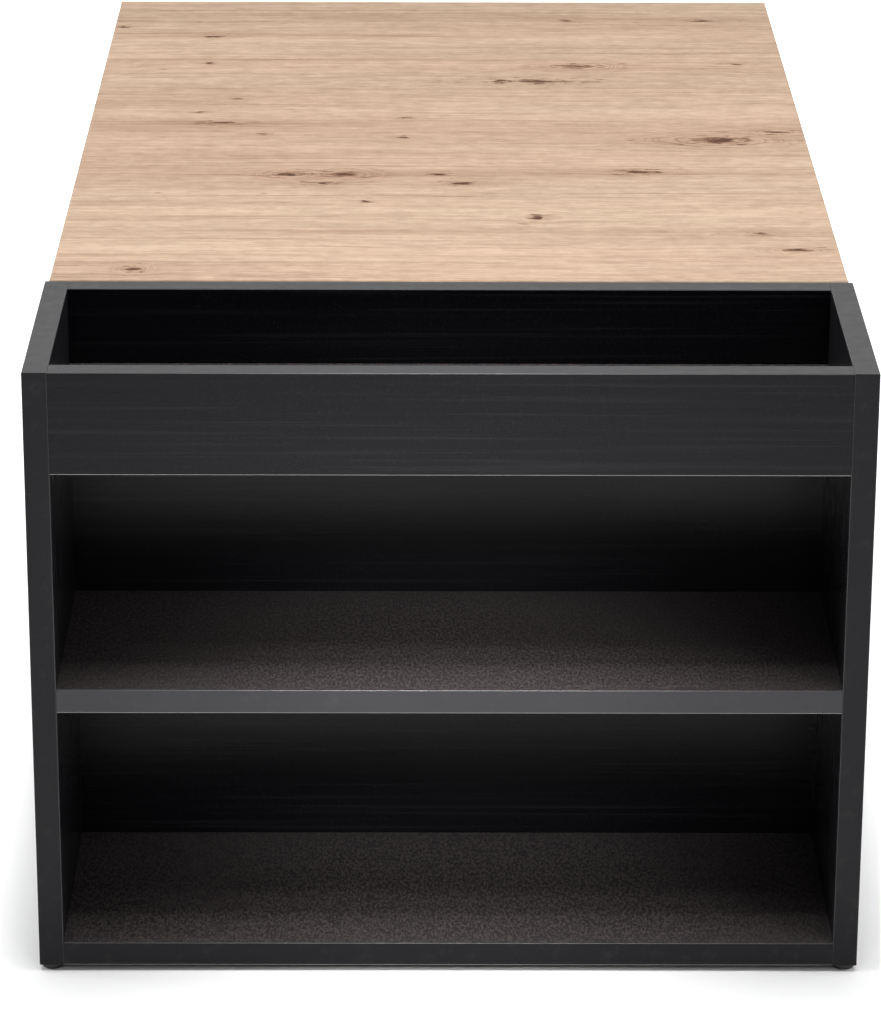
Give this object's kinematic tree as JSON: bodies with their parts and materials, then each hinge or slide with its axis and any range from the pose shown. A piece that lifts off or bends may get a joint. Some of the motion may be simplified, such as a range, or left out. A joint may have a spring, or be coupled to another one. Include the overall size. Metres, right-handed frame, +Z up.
{
  "type": "lift top coffee table",
  "caption": "Rectangular coffee table with a lifting wood top on linkage arms over a storage chest, an open tray and open shelves at one end.",
  "frame": {"origin": "on the floor at the middle of the footprint", "axes": "+Z up, +Y along the table from the shelf end to the far end, +X towards the side that the top comes out over"},
  "size_m": [0.6, 1.06, 0.464],
  "materials": {
    "black_laminate": "matt",
    "black_edge_band": "satin",
    "grey_edge_band": "satin",
    "oak_laminate": "matt",
    "oak_edge_band": "matt",
    "zinc_casting": "satin",
    "zinc_plated_steel": "bright",
    "beech_dowel": "matt",
    "black_plastic": "satin",
    "rubber": "matt",
    "nylon": "satin",
    "black_painted_steel": "satin",
    "spring_steel": "bright"
  },
  "bodies": {
    "cabinet_and_chest": {"arm_stop_pins": "zinc_plated_steel", "arm_stop_sleeves": "rubber", "base_pivot_pins": "zinc_plated_steel", "base_pivot_washers": "nylon", "base_plate_far": "black_painted_steel", "base_plate_near": "black_painted_steel", "base_plate_screws": "zinc_plated_steel", "cabinet_back": "black_laminate", "cabinet_bottom": "black_laminate", "cabinet_cam_bolts": "zinc_plated_steel", "cabinet_cam_locks": "zinc_casting", "cabinet_dowels": "beech_dowel", "cabinet_edge_bands": "black_edge_band", "cabinet_side_left": "black_laminate", "cabinet_side_right": "black_laminate", "cam_cover_caps": "black_plastic", "chest_cam_bolts": "zinc_plated_steel", "chest_cam_locks": "zinc_casting", "chest_dowels": "beech_dowel", "chest_edge_bands": "black_edge_band", "chest_far_end": "black_laminate", "chest_floor": "black_laminate", "chest_front_side": "black_laminate", "chest_near_end": "black_laminate", "chest_rear_side": "black_laminate", "floor_glides": "black_plastic", "glide_nails": "zinc_plated_steel", "lift_spring_far": "spring_steel", "lift_spring_near": "spring_steel", "middle_shelf": "black_laminate", "middle_shelf_edge_band": "grey_edge_band", "rim_bumpers": "rubber", "spring_anchor_pins": "zinc_plated_steel", "tray_floor": "black_laminate", "tray_front_rail": "black_laminate", "unit_joining_screws": "zinc_plated_steel"},
    "front_arms": {"front_arm_near": "black_painted_steel", "front_arm_far": "black_painted_steel", "sync_tube": "black_painted_steel", "sync_tube_plugs": "black_plastic", "sync_tube_bolts": "zinc_plated_steel"},
    "rear_arms": {"rear_arm_near": "black_painted_steel", "rear_arm_far": "black_painted_steel", "lever_spring_pins": "zinc_plated_steel"},
    "lift_top": {"lift_top": "oak_laminate", "lift_top_edge_bands": "oak_edge_band", "top_bracket_near": "black_painted_steel", "top_bracket_far": "black_painted_steel", "top_bracket_screws": "zinc_plated_steel", "top_pivot_pins": "zinc_plated_steel", "top_pivot_washers": "nylon"}
  },
  "joints": [
    {"name": "lift", "type": "hinge", "parent": "cabinet_and_chest", "child": "front_arms", "pos_m": [0.2, 0.105, 0.40138], "axis": [0, 1, 0], "range_deg": [0, 117], "deforming": ["lift_spring_near", "lift_spring_far"]},
    {"name": "rear_arm_swing", "type": "hinge", "parent": "cabinet_and_chest", "child": "rear_arms", "pos_m": [0.12952, 0.105, 0.37573], "axis": [0, 1, 0], "range_deg": [0, 117], "deforming": ["lift_spring_near", "lift_spring_far"]},
    {"name": "top_level", "type": "hinge", "parent": "front_arms", "child": "lift_top", "pos_m": [-0.01786, 0.105, 0.432], "axis": [0, 1, 0], "range_deg": [-117, 0]}
  ],
  "couplings": [
    {"joint": "rear_arm_swing", "follows": "lift", "ratio": 1},
    {"joint": "top_level", "follows": "lift", "ratio": -1}
  ]
}
